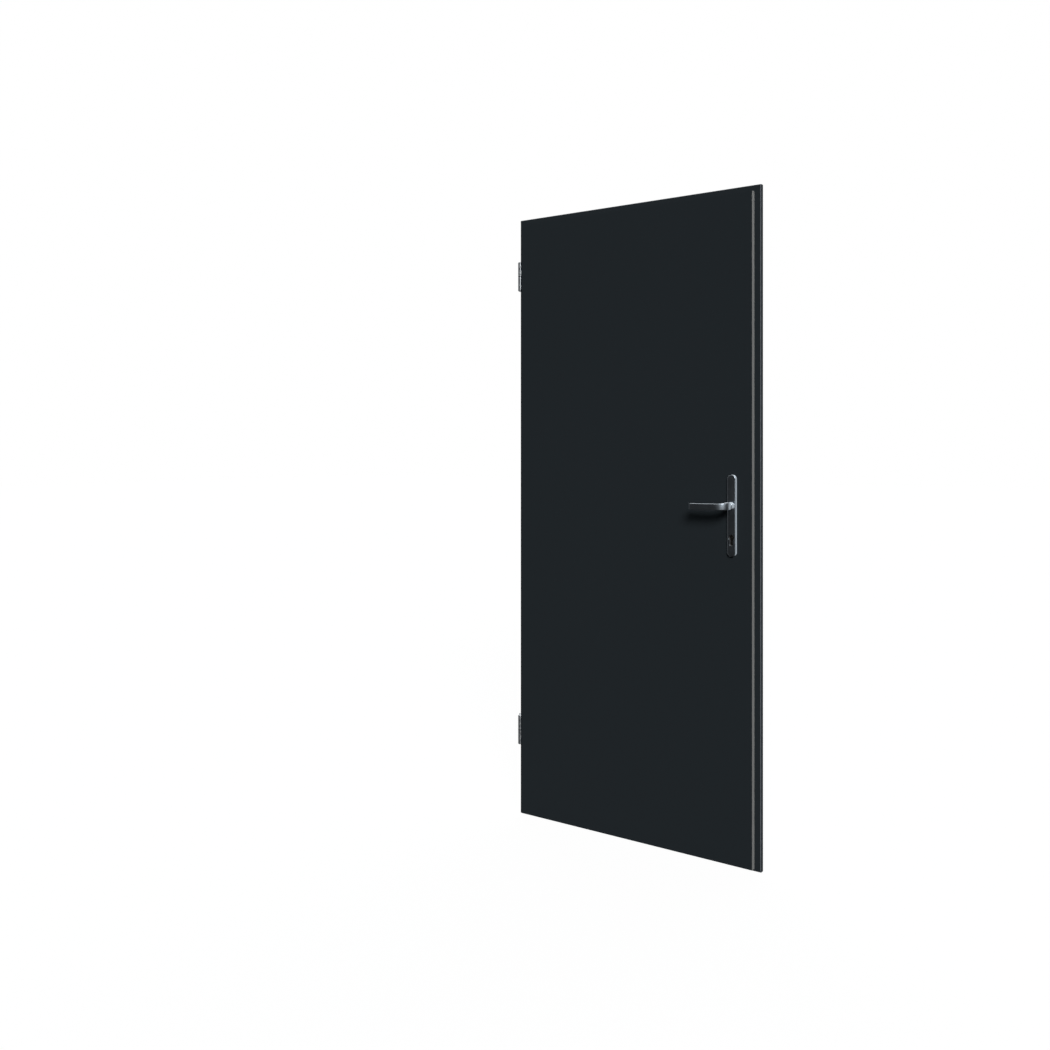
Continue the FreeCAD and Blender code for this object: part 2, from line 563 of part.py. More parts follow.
def make_lock_cylinder():
    """Keyhole-profile cylinder through the leaf, with a plug at each end."""
    low_y = f"{PUSH_FACE} - {BARREL_OVERHANG}"
    length = f"leaf_thickness + 2 * {BARREL_OVERHANG}"
    blank = barrel_profile("barrel", low_y, length)
    seats = []
    for side, start, way in (("inner", low_y, 1), ("outer", f"{PULL_FACE} + {BARREL_OVERHANG}", -1)):
        inwards = Vector(0, way, 0)
        seats.append(cylinder(f"{side}_plug_seat", LEVER_X, start, BARREL_Z,
                              "plug_diameter / 2", "plug_length", inwards))
        plug = cylinder(f"{side}_plug_bar", LEVER_X, start, BARREL_Z,
                        "plug_diameter / 2", "plug_length", inwards)
        slot_y = start if way > 0 else f"{start} - keyway_depth"
        slot = box(f"{side}_keyway", f"{LEVER_X} - keyway_width / 2", slot_y,
                   f"{BARREL_Z} - keyway_height / 2", "keyway_width", "keyway_depth", "keyway_height")
        finish(cut(f"{side}_plug_body", plug, slot), f"{side}_cylinder_plug")
    return finish(cut("barrel_body", blank, *seats), "lock_cylinder")


def make_door():
    """All pieces of the door."""
    make_outer_skin()
    make_inner_skin()
    make_infill()
    make_edge_strips()
    for level, middle in (("lower", "0"), ("upper", UPPER_HINGE)):
        make_frame_part(level, middle)
        make_leaf_part(level, middle)
        make_hinge_small_parts(level, middle)
    half_turn = 180
    make_handle_plate("inner", Rotation(), PUSH_FACE)
    make_handle_plate("outer", Rotation(Vector(0, 0, 1), half_turn), PULL_FACE)
    make_lever("inner", Rotation(), PUSH_FACE)
    make_lever("outer", Rotation(Vector(1, 0, 0), half_turn), PULL_FACE)
    make_spindle()
    make_lock_cylinder()
    doc.recompute()


def write_pieces():
    """Check every object, then write each piece to its own file."""
    for item in doc.Objects:
        if {"Invalid", "Error"} & set(item.State):
            raise RuntimeError(f"{item.Name} failed: {item.State}")
    for label, item in finished:
        if item.Shape.isNull() or not item.Shape.isValid():
            raise RuntimeError(f"{label} has no valid shape")
    os.makedirs("parts", exist_ok=True)
    for label, item in finished:
        item.Shape.exportStep(f"parts/{label}.step")
        size = item.Shape.BoundBox
        print(f"{label}: {len(item.Shape.Solids)} solid, {item.Shape.Volume / 1000:.1f} cm3, "
              f"{size.XLength:.1f} x {size.YLength:.1f} x {size.ZLength:.1f} mm")


make_door()
write_pieces()
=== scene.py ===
"""Finishes, lever furniture, fasteners, studio and camera of a steel utility door.

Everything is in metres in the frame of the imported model: +Z up, +X from the hinges to the closing
edge, -Y out of the push face.
"""
import json
import math

import bmesh
import bpy
from bpy.props import FloatProperty, FloatVectorProperty, IntProperty, PointerProperty
from bpy.types import Operator, Panel, PropertyGroup
from mathutils import Matrix, Vector


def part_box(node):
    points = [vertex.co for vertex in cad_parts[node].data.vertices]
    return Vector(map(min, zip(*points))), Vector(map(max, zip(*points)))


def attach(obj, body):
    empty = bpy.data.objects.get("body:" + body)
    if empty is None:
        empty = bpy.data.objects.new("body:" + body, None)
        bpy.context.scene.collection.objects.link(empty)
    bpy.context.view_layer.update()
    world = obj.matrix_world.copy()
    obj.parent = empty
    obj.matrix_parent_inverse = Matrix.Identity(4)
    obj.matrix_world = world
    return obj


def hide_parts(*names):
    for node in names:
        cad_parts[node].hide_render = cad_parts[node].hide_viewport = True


bl_info = {
    "name": "Steel Utility Door",
    "version": (1, 0, 0),
    "blender": (4, 5, 0),
    "location": "View3D > Sidebar > Door",
    "description": "Finishes, lever furniture, fasteners and studio of a steel utility door",
    "category": "Object",
}

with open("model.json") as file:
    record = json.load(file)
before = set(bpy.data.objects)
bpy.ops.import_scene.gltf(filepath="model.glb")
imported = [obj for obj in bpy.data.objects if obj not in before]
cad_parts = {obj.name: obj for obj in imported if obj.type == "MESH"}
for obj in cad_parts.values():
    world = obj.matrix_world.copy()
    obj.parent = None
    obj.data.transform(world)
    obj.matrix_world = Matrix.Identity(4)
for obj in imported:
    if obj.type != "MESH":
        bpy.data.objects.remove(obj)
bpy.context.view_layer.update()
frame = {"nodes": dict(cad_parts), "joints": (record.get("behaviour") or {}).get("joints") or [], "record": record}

# Places read from the frame
JOINTS = {joint["name"]: joint for joint in frame["joints"]}
MOUNTS = {mount["name"]: mount for mount in frame["record"]["mounts"]}
LEVER_AXIS = Vector(JOINTS["lever_turn"]["pos_m"])
HINGE_AXIS = Vector(JOINTS["leaf_swing"]["pos_m"])
LEAF_LOW, LEAF_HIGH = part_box("outer_skin")
PUSH_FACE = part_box("inner_skin")[0].y
PULL_FACE = LEAF_HIGH.y
PLATE_LOW, PLATE_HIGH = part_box("inner_handle_plate")
COLLAR_TOP = abs(PUSH_FACE - PLATE_LOW.y)
LEVER_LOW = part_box("inner_lever")[0]
BARREL_LOW, BARREL_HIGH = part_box("lock_cylinder")
BARREL_AXIS_Z = BARREL_HIGH.z - (BARREL_HIGH.x - BARREL_LOW.x) / 2

# Each side's face and the way out of it along Y
SIDES = (("inner", PUSH_FACE, -1), ("outer", PULL_FACE, 1))
LEVELS = ("lower", "upper")
STRIPS = ("hinge_edge_strip", "closing_edge_strip", "bottom_edge_strip", "top_edge_strip")
LEAF_NODES = ("outer_skin", "inner_skin", "infill", *STRIPS)

MM = 0.001
# Points nearer to each other than this become one
WELD = 1e-7
# Edges that turn by more than this stay sharp
SHARP_ANGLE = math.radians(32)
# Inset and rise, in millimetres, of the rounded foot of the lever's neck
NECK_FOOT = ((0.7, 0.0), (0.2, 0.35), (0.0, 1.0))
# Bright patches of the studio, with the cosines from their middle where they begin and where they are full
PATCHES = (("wall", 0.66, 0.92), ("far", 0.60, 0.95), ("top", 0.955, 0.985), ("front", 0.93, 0.99))
# Sockets of a mix node: its value, first and second entry, and its result
MIX_SOCKETS = {"FLOAT": (0, 2, 3, 0), "RGBA": (0, 6, 7, 2)}


def length(name, description, default):
    """Property of one length in metres."""
    return FloatProperty(name=name, description=description, default=default, unit="LENGTH", precision=5)


def share(name, description, default):
    """Property between nothing and all."""
    return FloatProperty(name=name, description=description, default=default, min=0, max=1, subtype="FACTOR")


def colour(name, description, default):
    """Property of one linear colour."""
    return FloatVectorProperty(name=name, description=description, default=default,
                               min=0, max=1, subtype="COLOR")


def angle(name, description, degrees):
    """Property of one angle, from its degrees."""
    return FloatProperty(name=name, description=description, default=math.radians(degrees), subtype="ANGLE")


def strength(name, description, default):
    """Property of one brightness."""
    return FloatProperty(name=name, description=description, default=default, min=0)


def direction(name, description, default):
    """Property of one direction in the frame."""
    return FloatVectorProperty(name=name, description=description, default=default, subtype="DIRECTION")


class DoorPaint(PropertyGroup):
    """Powder coat of the leaf and the strips along its edges."""

    coat: colour("Coat", "Colour of the powder coat", (0.0312, 0.0378, 0.0426))
    gloss: share("Roughness", "Roughness of the powder coat", 0.46)
    # Painted highlight: a light colour along the folds of the sheet, standing in for light on their rounding
    fold_highlight: colour("Fold", "Thin coat along the folds of the sheet", (0.195, 0.206, 0.226))
    peel: length("Peel", "Width of the ripples in the coat", 2.4 * MM)
    peel_depth: length("Peel depth", "Height of the ripples in the coat", 0.012 * MM)
    grain: length("Grain", "Width of the fine grain in the coat", 0.45 * MM)
    grain_depth: length("Grain depth", "Height of the fine grain in the coat", 0.006 * MM)
    strip: colour("Strip", "Colour of the edge strips", (0.324, 0.317, 0.300))


class DoorMetal(PropertyGroup):
    """Bare metals of the furniture and the hinges."""

    handle: colour("Handle", "Satin metal of levers and plates", (0.51, 0.56, 0.61))
    handle_roughness: share("Handle roughness", "Roughness of levers and plates", 0.34)
    lock: colour("Lock", "Nickel of the lock cylinder", (0.60, 0.575, 0.53))
    zinc: colour("Zinc", "Zinc coat of hinges and screws", (0.90, 0.92, 0.94))
    zinc_roughness: share("Zinc roughness", "Roughness of the zinc coat", 0.46)
    spangle: length("Spangle", "Width of the crystals in the zinc coat", 6 * MM)


class DoorFurniture(PropertyGroup):
    """Sizes of the lever furniture that the frame doesn't give as a box."""

    plate_depth: length("Plate depth", "Thickness of a handle plate", 9.5 * MM)
    plate_slope: angle("Rim slope", "Slope of the plate's rim", 2)
    plate_round: length("Plate edge", "Rounding of the plate's front edge", 2.0 * MM)
    collar: length("Collar", "Diameter of the lever collar at its foot", 21 * MM)
    collar_slope: angle("Collar slope", "Slope of the collar's side", 2)
    collar_round: length("Collar edge", "Rounding of the collar's rim", 1.0 * MM)
    collar_foot: length("Collar foot", "Hollow rounding where the collar meets the plate", 0.25 * MM)
    bore: length("Bore", "Diameter of the hole in the collar", 14.6 * MM)
    key_play: length("Key play", "Gap round the lock cylinder", 0.4 * MM)
    key_leg: length("Key leg", "Width of the lock cylinder's leg", 10 * MM)
    key_edge: length("Key edge", "Bevel round the keyhole", 0.3 * MM)
    shank: length("Shank", "Diameter of the lever's shank", 14 * MM)
    shank_start: length("Shank start", "Shank end above the leaf", 2 * MM)
    reveal: length("Reveal", "Gap between collar and neck", 1 * MM)
    neck_thick: length("Neck across", "Lever section at the neck, across", 14 * MM)
    neck_tall: length("Neck upright", "Lever section at the neck, upright", 20.8 * MM)
    grip_tall: length("Grip upright", "Lever section at the start of the grip, upright", 18.4 * MM)
    settle: length("Settle", "Middle of the grip below the lever's axis", 2.6 * MM)
    taper: angle("Taper", "Slope of the grip's sides", 0.4)
    droop: angle("Droop", "Turn of the levers below level at rest", 0.2)
    bend: length("Bend", "Rise of the lever's bend at mid section", 22 * MM)
    sweep: length("Sweep", "Run of the lever's bend along the grip", 31 * MM)
    corner: length("Corner", "Corner radius of the lever section", 2.0 * MM)
    tip_round: length("Tip", "Rounding of the grip's end", 1.8 * MM)


class DoorFasteners(PropertyGroup):
    """Screws and caps of the hinges and set screws of the levers."""

    head: length("Head", "Diameter of a screw head", 10.4 * MM)
    head_height: length("Head height", "Height of a screw head", 2.6 * MM)
    stem: length("Stem", "Diameter of a screw in its hole", 6 * MM)
    stem_length: length("Stem length", "Screw below its head", 3.5 * MM)
    recess: length("Recess", "Span of the cross recess", 5.2 * MM)
    recess_width: length("Recess width", "Width of the cross recess", 1.1 * MM)
    recess_depth: length("Recess depth", "Depth of the cross recess", 1.5 * MM)
    frame_plate: length("Frame plate", "Thickness of the hinge plate on the frame", 4 * MM)
    leaf_plate: length("Leaf plate", "Thickness of the hinge plate on the leaf", 3 * MM)
    leaf_inset: length("Leaf inset", "Middle of the screws from the leaf plate's far edge", 20 * MM)
    cap_round: length("Cap edge", "Rounding of the hinge caps", 2.2 * MM)
    set_screw: length("Set screw", "Diameter of the levers' set screws", 5 * MM)
    set_socket: length("Set socket", "Width across the set screw's socket", 2.5 * MM)
    facets: IntProperty(name="Facets", description="Facets round a screw", default=40, min=12)


class DoorStudio(PropertyGroup):
    """Floor, light and the photograph's camera."""

    eye: FloatVectorProperty(name="Eye", description="Camera from the lever's axis on the push face",
                             default=(1.3516, -2.8749, 0.1734), unit="LENGTH")
    heading: angle("Heading", "Turn of the level camera from +Y", 36.148)
    lens: FloatProperty(name="Lens", description="Focal length in millimetres", default=36.74)
    sensor: FloatProperty(name="Sensor", description="Width of the film in millimetres", default=36.0)
    rise: FloatProperty(name="Rise", description="Upward shift of the view as a share of the frame",
                        default=-0.0751)
    floor_gap: length("Floor gap", "Floor below the leaf", 8 * MM)
    floor_size: length("Floor size", "Side of the floor", 60.0)
    floor_tone: share("Floor tone", "Light that the floor gives back", 0.06)
    floor_glow: strength("Floor glow", "Brightness added to the floor in view", 0.97)
    light: colour("Light", "Colour of the studio's light", (0.94, 0.975, 1.0))
    key_from: direction("Key from", "Where the main light comes from", (0.54, -0.70, 0.485))
    key_power: strength("Key power", "Strength of the main light", 2.0)
    key_spread: angle("Key spread", "Angular width of the main light", 23)
    back_from: direction("Back from", "Where the light on the far side comes from", (-0.45, 0.72, 0.53))
    back_power: strength("Back power", "Strength of the light on the far side", 0.9)
    back_spread: angle("Back spread", "Angular width of the light on the far side", 60)
    sky_base: strength("Base", "Brightness of the dark studio", 0.009)
    sky_wall: strength("Wall", "Brightness behind the closing edge", 0.72)
    wall_from: direction("Wall from", "Middle of the wall behind the closing edge", (0.50, 0.87, 0.0))
    sky_far: strength("Far wall", "Brightness behind the hinge edge", 0.29)
    far_from: direction("Far wall from", "Middle of the wall behind the hinge edge", (-0.90, 0.40, -0.12))
    sky_top: strength("Top", "Brightness high behind the leaf", 1.5)
    top_from: direction("Top from", "Middle of the bright patch high behind", (0.12, 0.90, 0.42))
    sky_front: strength("Front", "Brightness beside the camera", 0.32)
    front_from: direction("Front from", "Middle of the bright patch beside the camera", (0.60, -0.80, 0.0))


# Mesh helpers


def mesh_object(name, bm):
    """Object of a finished bmesh, smooth but for its sharp edges."""
    bmesh.ops.remove_doubles(bm, verts=bm.verts, dist=WELD)
    bmesh.ops.recalc_face_normals(bm, faces=bm.faces)
    mesh = bpy.data.meshes.new(name)
    bm.to_mesh(mesh)
    bm.free()
    mesh.shade_smooth()
    mesh.set_sharp_from_angle(angle=SHARP_ANGLE)
    piece = bpy.data.objects.new(name, mesh)
    bpy.context.scene.collection.objects.link(piece)
    return piece


def add_ring(bm, points):
    """Closed ring of new vertices."""
    return [bm.verts.new(point) for point in points]


def join_rings(bm, rings, closed_start=False, closed_end=False, finish=0):
    """Skin over rings of equal count, with flat ends where asked, in one of the piece's finishes."""
    for first, second in zip(rings, rings[1:]):
        count = len(first)
        for i in range(count):
            j = (i + 1) % count
            bm.faces.new((first[i], first[j], second[j], second[i])).material_index = finish
    if closed_start:
        bm.faces.new(list(reversed(rings[0])))
    if closed_end:
        bm.faces.new(rings[-1])


def fill_between(bm, *loops):
    """Flat face inside the first ring with the other rings left open."""
    edges = []
    for loop in loops:
        for i, vert in enumerate(loop):
            following = loop[(i + 1) % len(loop)]
            edges.append(bm.edges.get((vert, following)) or bm.edges.new((vert, following)))
    bmesh.ops.triangle_fill(bm, edges=edges, use_beauty=True, use_dissolve=False)


def circle(radius, count, centre=(0, 0), start=0.0):
    """Points round a circle, from an angle, anticlockwise."""
    turn = 2 * math.pi / count
    return [(centre[0] + radius * math.cos(start + i * turn), centre[1] + radius * math.sin(start + i * turn))
            for i in range(count)]


def arc(centre, radius, start, end, steps):
    """Points along an arc, both ends included."""
    return [(centre[0] + radius * math.cos(start + (end - start) * i / steps),
             centre[1] + radius * math.sin(start + (end - start) * i / steps)) for i in range(steps + 1)]


def slot_outline(half, up, down, steps=24):
    """Upright slot with round ends, by the heights of its two centres."""
    return arc((0, up), half, 0, math.pi, steps) + arc((0, down), half, math.pi, 2 * math.pi, steps)


def bar_outline(half_w, half_t, radius, steps):
    """Rectangle with round corners, each in a number of steps."""
    points = []
    for sx, sy, quarter in ((1, 1, 0), (-1, 1, 1), (-1, -1, 2), (1, -1, 3)):
        centre = (sx * (half_w - radius), sy * (half_t - radius))
        start = quarter * math.pi / 2
        points += arc(centre, radius, start, start + math.pi / 2, steps)
    return points


def on_face(axis, face, way):
    """Map from a drawing on the leaf's face, with its height out of the face, to the frame."""
    return lambda u, v, out: Vector((axis.x + u, face + way * out, axis.z + v))


# Node helpers


def feed(socket, value):
    """Put a value or a link on a socket."""
    if isinstance(value, bpy.types.NodeSocket):
        socket.id_data.links.new(value, socket)
    else:
        socket.default_value = value


def add_node(tree, kind, **links):
    """New node with values or links on its named sockets."""
    node = tree.nodes.new(kind)
    for socket, value in links.items():
        feed(node.inputs[socket.replace("_", " ")], value)
    return node


def add_math(tree, operation, first, second):
    """Result of one operation on two values."""
    node = tree.nodes.new("ShaderNodeMath")
    node.operation = operation
    feed(node.inputs[0], first)
    feed(node.inputs[1], second)
    return node.outputs[0]


def add_mix(tree, kind, value, first, second):
    """Number or colour that runs from the first to the second as a value runs from nothing to one."""
    node = tree.nodes.new("ShaderNodeMix")
    node.data_type = kind
    *inputs, result = MIX_SOCKETS[kind]
    for index, entry in zip(inputs, (value, first, second)):
        feed(node.inputs[index], entry)
    return node.outputs[result]


# Finishes


class Finish:
    """Node tree of one finish around its shader, in the frame's metres."""

    def __init__(self, name, **values):
        self.material = bpy.data.materials.new(name)
        self.material.use_nodes = True
        self.tree = self.material.node_tree
        self.shader = next(node for node in self.tree.nodes if node.type == "BSDF_PRINCIPLED")
        self.place = self.tree.nodes.new("ShaderNodeTexCoord").outputs["Object"]
        self.drive(**values)

    def node(self, kind, **links):
        """New node of this finish."""
        return add_node(self.tree, kind, **links)

    def stretched(self, scale, shift=(0, 0, 0)):
        """Place with each axis scaled after a shift."""
        moved = self.node("ShaderNodeMapping", Vector=self.place, Location=shift)
        return self.node("ShaderNodeMapping", Vector=moved.outputs[0], Scale=scale).outputs[0]

    def noise(self, size, detail, place=None):
        """Soft noise with features of one size."""
        node = self.node("ShaderNodeTexNoise", Vector=place or self.place, Scale=1 / size, Detail=detail)
        return node.outputs[0]

    def cells(self, size):
        """One random value for each crystal of a size."""
        node = self.node("ShaderNodeTexVoronoi", Vector=self.place, Scale=1 / size)
        return self.node("ShaderNodeSeparateColor", Color=node.outputs["Color"]).outputs[0]

    def span(self, value, low, high):
        """Value from nothing to one, spread from low to high."""
        return self.node("ShaderNodeMapRange", Value=value, To_Min=low, To_Max=high).outputs[0]

    def tint(self, value, tone, swing):
        """Tone that gets darker and lighter by a share as a value runs from nothing to one."""
        dark = (*(channel * (1 - swing) for channel in tone), 1)
        pale = (*(min(1, channel * (1 + swing)) for channel in tone), 1)
        return add_mix(self.tree, "RGBA", value, dark, pale)

    def over(self, mask, under, tone):
        """Tone laid over another where a mask is one."""
        return add_mix(self.tree, "RGBA", mask, under, (*tone, 1))

    def folds(self):
        """One on the rounded folds of a sheet, nothing on its flat sides, where the highlight of the folds is
        painted.
        """
        facing = self.tree.nodes.new("ShaderNodeNewGeometry").outputs["True Normal"]
        turned = self.node("ShaderNodeVectorTransform", Vector=facing)
        turned.vector_type = "NORMAL"
        turned.convert_from = "WORLD"
        turned.convert_to = "OBJECT"
        positive = self.node("ShaderNodeVectorMath", Vector=turned.outputs[0])
        positive.operation = "ABSOLUTE"
        x, y, z = self.node("ShaderNodeSeparateXYZ", Vector=positive.outputs[0]).outputs
        largest = add_math(self.tree, "MAXIMUM", add_math(self.tree, "MAXIMUM", x, y), z)
        # The largest part of the facing is one on a flat side and less on a fold
        flat, folded = 0.995, 0.96
        return self.node("ShaderNodeMapRange", Value=largest, From_Min=flat, From_Max=folded).outputs[0]

    def relief(self, height, depth, under=None):
        """Normal of a relief, over another one where given."""
        node = self.node("ShaderNodeBump", Height=height, Distance=depth)
        if under is not None:
            feed(node.inputs["Normal"], under)
        return node.outputs[0]

    def drive(self, **links):
        """Values and links into the shader."""
        for socket, value in links.items():
            feed(self.shader.inputs[socket.replace("_", " ")], value)
        return self.material


def powder_coat(settings):
    """Satin powder coat: faint ripples, a fine grain, a slow drift of tone and a light colour on the folds that is
    a painted highlight.
    """
    finish = Finish("powder_coat", IOR=1.07)
    drift = finish.noise(size=0.9, detail=1.0)
    grain = finish.noise(settings.grain, detail=1.0)
    peel = finish.noise(settings.peel, detail=1.0)
    flats = finish.tint(drift, settings.coat, swing=0.03)
    ripples = finish.relief(peel, settings.peel_depth)
    play = 0.04
    return finish.drive(
        # Painted highlight: the folds take the much lighter fold colour
        Base_Color=finish.over(finish.folds(), flats, settings.fold_highlight),
        Roughness=finish.span(grain, settings.gloss - play, settings.gloss + play),
        Normal=finish.relief(grain, settings.grain_depth, ripples),
    )


def strip_plastic(settings):
    """Matt extruded strip with fine lines along its length."""
    finish = Finish("edge_strip_plastic", IOR=1.46)
    along = finish.stretched(scale=(1, 1, 0.02))
    lines = finish.noise(size=0.6 * MM, detail=2.0, place=along)
    cloud = finish.noise(size=60 * MM, detail=2.0)
    return finish.drive(
        Base_Color=finish.tint(cloud, settings.strip, swing=0.05),
        Roughness=finish.span(lines, low=0.48, high=0.60),
        Normal=finish.relief(lines, depth=0.01 * MM),
    )


def infill_foam():
    """Cream rigid foam with small pores."""
    finish = Finish("infill_foam")
    pores = finish.cells(size=1.6 * MM)
    cream = (0.62, 0.52, 0.33)
    return finish.drive(
        Base_Color=finish.tint(pores, cream, swing=0.12),
        Roughness=finish.span(pores, low=0.82, high=0.95),
        Normal=finish.relief(pores, depth=0.2 * MM),
    )


def satin_metal(settings):
    """Satin furniture metal, blasted fine and faintly clouded by handling."""
    finish = Finish("satin_metal", Metallic=1.0)
    cloud = finish.noise(size=22 * MM, detail=3.0)
    blast = finish.noise(size=0.28 * MM, detail=1.0)
    rough = settings.handle_roughness
    return finish.drive(
        Base_Color=finish.tint(cloud, settings.handle, swing=0.03),
        Roughness=finish.span(cloud, low=rough - 0.03, high=rough + 0.05),
        Normal=finish.relief(blast, depth=0.0016 * MM),
    )


def hole_shade_metal():
    """Dark metal painted as shade inside the holes of the plates, partly a dull casting skin."""
    finish = Finish("hole_shade_metal", Metallic=1.0)
    pits = finish.noise(size=0.7 * MM, detail=3.0)
    # Painted shade: a dark grey metal for the insides of the holes
    painted_hole_shade_grey = (0.11, 0.11, 0.115)
    return finish.drive(
        Base_Color=finish.tint(pits, painted_hole_shade_grey, swing=0.15),
        Roughness=finish.span(pits, low=0.52, high=0.66),
        Normal=finish.relief(pits, depth=0.03 * MM),
    )


def lock_nickel(settings):
    """Nickel-plated brass, turned, with rings about the cylinder's axis."""
    finish = Finish("lock_nickel", Metallic=1.0)
    middle = finish.stretched(scale=(1, 0, 1), shift=(-LEVER_AXIS.x, 0, -BARREL_AXIS_Z))
    ring_width = 2.2 * MM
    rings = finish.node("ShaderNodeTexWave", Vector=middle, Scale=1 / ring_width, Distortion=0.4)
    rings.wave_type = "RINGS"
    rings.rings_direction = "SPHERICAL"
    cloud = finish.noise(size=6 * MM, detail=2.0)
    return finish.drive(
        Base_Color=finish.tint(cloud, settings.lock, swing=0.05),
        Roughness=finish.span(cloud, low=0.12, high=0.20),
        Normal=finish.relief(rings.outputs[1], depth=0.0006 * MM),
    )


def zinc_coat(settings):
    """Galvanised steel with crystals that differ in tone and gloss."""
    finish = Finish("zinc_coat", Metallic=1.0)
    crystals = finish.cells(settings.spangle)
    dust = finish.noise(size=0.5 * MM, detail=2.0)
    rough = settings.zinc_roughness
    return finish.drive(
        Base_Color=finish.tint(crystals, settings.zinc, swing=0.10),
        Roughness=finish.span(crystals, low=rough - 0.05, high=rough + 0.09),
        Normal=finish.relief(dust, depth=0.006 * MM),
    )


def screw_zinc(settings):
    """Bright zinc of the screws, a little worn by the driver."""
    finish = Finish("screw_zinc", Metallic=1.0)
    wear = finish.noise(size=1.8 * MM, detail=3.0)
    return finish.drive(
        Base_Color=finish.tint(wear, settings.zinc, swing=0.12),
        Roughness=finish.span(wear, low=0.22, high=0.42),
        Normal=finish.relief(wear, depth=0.01 * MM),
    )


def bearing_plastic():
    """Dark nylon of the bearing washers."""
    finish = Finish("bearing_plastic", IOR=1.53)
    mottle = finish.noise(size=0.9 * MM, detail=2.0)
    near_black = (0.02, 0.02, 0.022)
    return finish.drive(
        Base_Color=finish.tint(mottle, near_black, swing=0.2),
        Roughness=finish.span(mottle, low=0.42, high=0.55),
        Normal=finish.relief(mottle, depth=0.01 * MM),
    )


def dress(material, *nodes):
    """Finish on nodes of the frame."""
    for name in nodes:
        mesh = frame["nodes"][name].data
        mesh.materials.clear()
        mesh.materials.append(material)


def stand_for(piece, material, slot, body, *nodes):
    """Finish and body of a new piece, and the nodes that it stands for."""
    piece.data.materials.append(material)
    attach(piece, body)
    if nodes:
        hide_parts(*nodes)


# Pieces


class DOOR_OT_paint_leaf(Operator):
    """Powder coat both skins of the leaf"""

    bl_idname = "door.paint_leaf"
    bl_label = "Paint leaf"

    def execute(self, context):
        dress(powder_coat(context.scene.door_paint), "outer_skin", "inner_skin")
        # Bare metal close to the leaf mirrors the studio and not the dark coat
        for name in LEAF_NODES:
            frame["nodes"][name].visible_glossy = False
        return {"FINISHED"}


class DOOR_OT_finish_edges(Operator):
    """Finish the strips round the leaf's core and the infill behind them"""

    bl_idname = "door.finish_edges"
    bl_label = "Finish edges"

    def execute(self, context):
        dress(strip_plastic(context.scene.door_paint), *STRIPS)
        dress(infill_foam(), "infill")
        return {"FINISHED"}


def rim_outlines(sizes, half):
    """Half width and height of the plate's outline, from the leaf up its rim and over the front edge."""
    deep, soft, slope = sizes.plate_depth, sizes.plate_round, sizes.plate_slope
    edge = half - (deep - soft + soft * math.sin(slope)) * math.tan(slope)
    outlines = [(half, 0.0)]
    steps = 6
    for i in range(steps + 1):
        turn = slope + (math.pi / 2 - slope) * i / steps
        outlines.append((edge - soft * (math.cos(slope) - math.cos(turn)),
                         deep - soft + soft * math.sin(turn)))
    return outlines


def collar_profile(sizes):
    """Radius and height of the collar, from its foot on the plate over its rim and down the bore."""
    deep, curl, foot, bore = sizes.plate_depth, sizes.collar_round, sizes.collar_foot, sizes.bore / 2
    slope = math.tan(sizes.collar_slope)
    wall = sizes.collar / 2 - foot * slope
    crown = sizes.collar / 2 - (COLLAR_TOP - deep) * slope
    bevel = 0.3 * MM
    steps = 6
    profile = arc((wall + foot, deep + foot), foot, -math.pi / 2, -math.pi, steps)
    profile += arc((crown - curl, COLLAR_TOP - curl), curl, sizes.collar_slope, math.pi / 2, steps)
    return profile + [(bore + bevel, COLLAR_TOP), (bore, COLLAR_TOP - bevel), (bore, 0.0)]


def keyhole_outline(sizes, grow):
    """Round eye with a leg below, a little wider than the lock cylinder, about the lever's axis."""
    eye = (BARREL_HIGH.x - BARREL_LOW.x) / 2 + sizes.key_play + grow
    leg = sizes.key_leg / 2 + sizes.key_play + grow
    eye_v = BARREL_AXIS_Z - LEVER_AXIS.z
    leg_v = BARREL_LOW.z - LEVER_AXIS.z + sizes.key_leg / 2
    spread = math.asin(leg / eye)
    eye_steps, leg_steps = 40, 16
    top = arc((0, eye_v), eye, spread - math.pi / 2, 3 * math.pi / 2 - spread, eye_steps)
    return top + arc((0, leg_v), leg, math.pi, 2 * math.pi, leg_steps)


def plate_mesh(bm, sizes, to_frame):
    """Narrow handle plate with a sloping rim, a collar and the keyhole; the holes take the second finish, dark
    metal painted as their shade.
    """
    def drawn(points, out):
        return add_ring(bm, [to_frame(u, v, out) for u, v in points])

    half = (PLATE_HIGH.x - PLATE_LOW.x) / 2
    up = PLATE_HIGH.z - LEVER_AXIS.z - half
    down = PLATE_LOW.z - LEVER_AXIS.z + half
    rim = [drawn(slot_outline(width, up, down), out) for width, out in rim_outlines(sizes, half)]
    join_rings(bm, rim)

    facets = 64
    collar = [drawn(circle(radius, facets), out) for radius, out in collar_profile(sizes)]
    join_rings(bm, collar[:-1])
    join_rings(bm, collar[-2:], finish=1)

    deep, bevel = sizes.plate_depth, sizes.key_edge
    keyhole = [drawn(keyhole_outline(sizes, grow), out)
               for grow, out in ((bevel, deep), (0.0, deep - bevel), (0.0, 0.0))]
    join_rings(bm, keyhole[:2])
    join_rings(bm, keyhole[1:], finish=1)
    fill_between(bm, rim[-1], collar[0], keyhole[0])
    fill_between(bm, rim[0], collar[-1], keyhole[-1])


